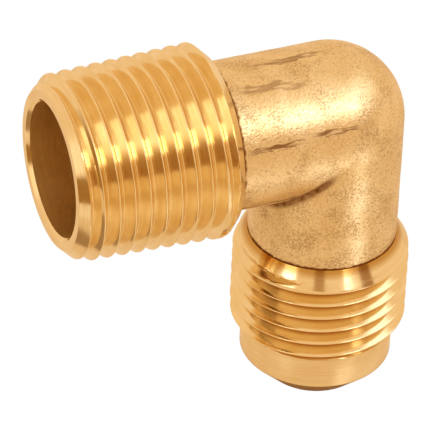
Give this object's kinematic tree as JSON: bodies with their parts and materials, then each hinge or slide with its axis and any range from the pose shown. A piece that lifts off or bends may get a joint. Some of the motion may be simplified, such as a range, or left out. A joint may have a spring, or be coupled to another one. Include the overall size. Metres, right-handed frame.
{
  "type": "flare elbow fitting",
  "caption": "Forged brass elbow with a male taper pipe thread on one leg and a male 45 degree flare end on the other.",
  "frame": {"origin": "where the bore axes of the two legs cross", "axes": "-X out along the pipe leg, -Z out along the flare leg, Y across the plane of the two legs"},
  "size_m": [0.0341, 0.0174, 0.0363],
  "materials": {
    "forged_brass": "satin forged skin, shot cleaned, with dark oxide in its pits",
    "threaded_brass": "bright cut thread",
    "flare_threaded_brass": "bright turned and threaded",
    "turned_brass": "fine turned satin"
  },
  "bodies": {
    "root": {"forged_elbow": "forged_brass", "pipe_thread_collar": "threaded_brass", "flare_thread_collar": "flare_threaded_brass", "flare_seat_nose": "turned_brass"}
  },
  "joints": []
}
